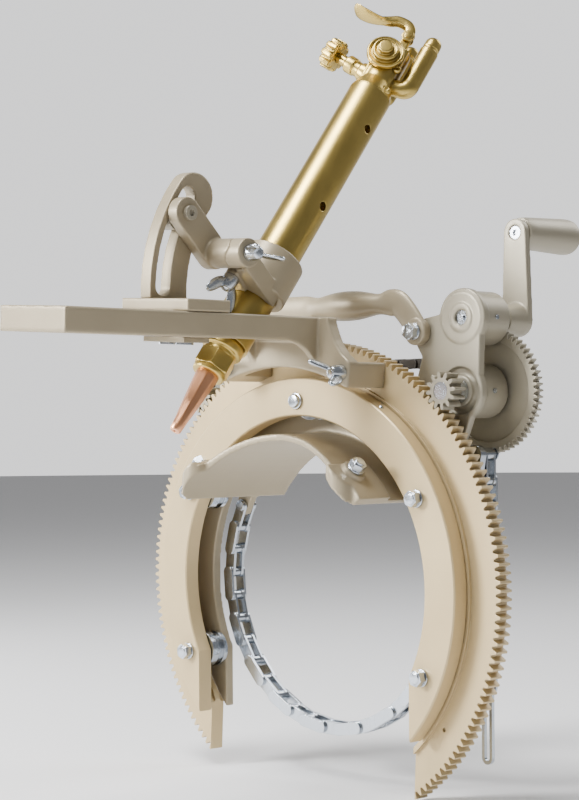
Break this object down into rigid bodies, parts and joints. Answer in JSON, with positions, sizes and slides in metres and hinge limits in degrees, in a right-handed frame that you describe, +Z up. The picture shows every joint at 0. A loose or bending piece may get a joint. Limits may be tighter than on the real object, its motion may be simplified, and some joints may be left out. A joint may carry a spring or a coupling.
{
  "type": "pipe beveling machine",
  "caption": "Pipe beveling machine: a saddle chained on a pipe guides a cranked split ring gear, which carries a cutting torch on a slotted bar with a bevel quadrant.",
  "frame": {"origin": "on the axis of the ring and the pipe, in the front face of the guide ring", "axes": "X to the right, Y along the pipe towards the back, Z up"},
  "size_m": [0.3718, 0.4291, 0.612],
  "materials": {
    "cast": "satin",
    "ring_paint": "satin",
    "gray_iron": "satin",
    "zinc": "satin",
    "dark_steel": "satin",
    "brass": "satin",
    "copper": "satin"
  },
  "bodies": {
    "frame": {"saddle": "cast", "guide_ring": "ring_paint", "pad_bolts": "zinc", "roller_bolts": "zinc", "ring_oiler": "zinc", "housing_right": "gray_iron", "housing_left": "gray_iron", "housing_bolts": "zinc", "carry_handle": "cast", "handle_bolts": "zinc", "drive_chain": "dark_steel", "clamp_chain": "zinc", "chain_hook": "zinc", "tightener_screw": "zinc"},
    "tail": {"chain_tail": "zinc"},
    "ring": {"ring_gear": "ring_paint", "torch_bracket": "cast"},
    "bracket_screw_r": {"bracket_screw_right": "zinc"},
    "bracket_screw_l": {"bracket_screw_left": "zinc"},
    "carriage": {"carriage_pad": "cast", "carriage_plate": "cast", "carriage_bolts": "zinc", "bevel_quadrant": "cast"},
    "arm": {"bevel_arm": "cast", "bevel_bolt": "gray_iron", "torch_collar": "cast"},
    "collar_screw": {"collar_wing_screw": "zinc"},
    "boss_screw": {"boss_wing_screw": "zinc"},
    "torch": {"torch_barrel": "brass", "torch_ring": "brass", "torch_nut": "brass", "torch_tip": "copper", "torch_head": "brass", "gas_inlets": "brass", "head_cap": "brass", "head_screws": "brass", "valve_stem": "brass"},
    "knob": {"valve_knob": "brass"},
    "lever": {"cutting_lever": "brass"},
    "drive_right": {"drive_shaft_right": "zinc", "drive_pinion_right": "gray_iron", "large_gear": "gray_iron", "sprocket_right": "dark_steel"},
    "drive_left": {"drive_shaft_left": "zinc", "drive_pinion_left": "gray_iron", "sprocket_left": "dark_steel"},
    "crank": {"crank_shaft": "zinc", "crank_pinion": "gray_iron", "crank_arm": "gray_iron", "crank_screw": "zinc"},
    "grip": {"crank_grip": "gray_iron"},
    "roller_1": {"guide_roller_1": "zinc"},
    "roller_2": {"guide_roller_2": "zinc"},
    "roller_3": {"guide_roller_3": "zinc"},
    "roller_4": {"guide_roller_4": "zinc"},
    "roller_5": {"guide_roller_5": "zinc"}
  },
  "joints": [
    {"name": "ring_turn", "type": "hinge", "parent": "frame", "child": "ring", "pos_m": [0, 0.02, 0], "axis": [0, 1, 0], "continuous": true},
    {"name": "drive_right_turn", "type": "hinge", "parent": "frame", "child": "drive_right", "pos_m": [0.13097, 0.02, 0.14582], "axis": [0, 1, 0], "continuous": true},
    {"name": "drive_left_turn", "type": "hinge", "parent": "frame", "child": "drive_left", "pos_m": [-0.13097, 0.02, 0.14582], "axis": [0, 1, 0], "continuous": true},
    {"name": "crank_turn", "type": "hinge", "parent": "frame", "child": "crank", "pos_m": [0.13342, 0.1, 0.19976], "axis": [0, 1, 0], "continuous": true},
    {"name": "roller_1_turn", "type": "hinge", "parent": "frame", "child": "roller_1", "pos_m": [0, 0.02, 0.14], "axis": [0, 1, 0], "continuous": true},
    {"name": "roller_2_turn", "type": "hinge", "parent": "frame", "child": "roller_2", "pos_m": [0.12245, 0.02, 0.06787], "axis": [0, 1, 0], "continuous": true},
    {"name": "roller_3_turn", "type": "hinge", "parent": "frame", "child": "roller_3", "pos_m": [0.12583, 0.02, -0.06137], "axis": [0, 1, 0], "continuous": true},
    {"name": "roller_4_turn", "type": "hinge", "parent": "frame", "child": "roller_4", "pos_m": [-0.12245, 0.02, 0.06787], "axis": [0, 1, 0], "continuous": true},
    {"name": "roller_5_turn", "type": "hinge", "parent": "frame", "child": "roller_5", "pos_m": [-0.12583, 0.02, -0.06137], "axis": [0, 1, 0], "continuous": true},
    {"name": "grip_spin", "type": "hinge", "parent": "crank", "child": "grip", "pos_m": [0.13342, 0.12, 0.26596], "axis": [0, 1, 0], "continuous": true},
    {"name": "tail_swing", "type": "hinge", "parent": "frame", "child": "tail", "pos_m": [0.1395, 0.057, 0.099], "axis": [0, 1, 0], "range_deg": [-15, 15]},
    {"name": "carriage_slide", "type": "slide", "parent": "ring", "child": "carriage", "axis": [0, -1, 0], "range_m": [0, 0.1]},
    {"name": "bevel_tilt", "type": "hinge", "parent": "carriage", "child": "arm", "pos_m": [0.01159, -0.0241, 0.22125], "axis": [0.9986, 0, -0.0523], "range_deg": [-4.5, 11]},
    {"name": "collar_screw_turn", "type": "hinge", "parent": "arm", "child": "collar_screw", "pos_m": [0.0499, -0.09623, 0.24514], "axis": [0.9986, 0, -0.0523], "range_deg": [-90, 90]},
    {"name": "boss_screw_turn", "type": "hinge", "parent": "arm", "child": "boss_screw", "pos_m": [0.02155, -0.08693, 0.22977], "axis": [0.0421, 0.5948, 0.8028], "range_deg": [-25, 25]},
    {"name": "torch_height", "type": "slide", "parent": "arm", "child": "torch", "axis": [0.0421, 0.5948, 0.8028], "range_m": [-0.01, 0.04]},
    {"name": "knob_turn", "type": "hinge", "parent": "torch", "child": "knob", "pos_m": [-0.01267, 0.06325, 0.4134], "axis": [-0.8094, -0.2343, 0.5384], "range_deg": [0, 300]},
    {"name": "lever_press", "type": "hinge", "parent": "torch", "child": "lever", "pos_m": [0.02481, 0.1031, 0.42887], "axis": [0.6527, -0.6247, 0.4287], "range_deg": [0, 10], "stiffness_Nm_per_rad": 0.6},
    {"name": "bracket_screw_r_turn", "type": "hinge", "parent": "ring", "child": "bracket_screw_r", "pos_m": [0.06946, -0.0229, 0.15975], "axis": [0, 1, 0], "range_deg": [-170, 170]},
    {"name": "bracket_screw_l_turn", "type": "hinge", "parent": "ring", "child": "bracket_screw_l", "pos_m": [-0.05238, -0.0229, 0.16614], "axis": [0, 1, 0], "range_deg": [-170, 170]}
  ],
  "couplings": [
    {"joint": "drive_right_turn", "follows": "ring_turn", "ratio": -15.333},
    {"joint": "drive_left_turn", "follows": "ring_turn", "ratio": -15.333},
    {"joint": "crank_turn", "follows": "ring_turn", "ratio": 76.667},
    {"joint": "roller_1_turn", "follows": "ring_turn", "ratio": 12.5},
    {"joint": "roller_2_turn", "follows": "ring_turn", "ratio": 12.5},
    {"joint": "roller_3_turn", "follows": "ring_turn", "ratio": 12.5},
    {"joint": "roller_4_turn", "follows": "ring_turn", "ratio": 12.5},
    {"joint": "roller_5_turn", "follows": "ring_turn", "ratio": 12.5}
  ]
}
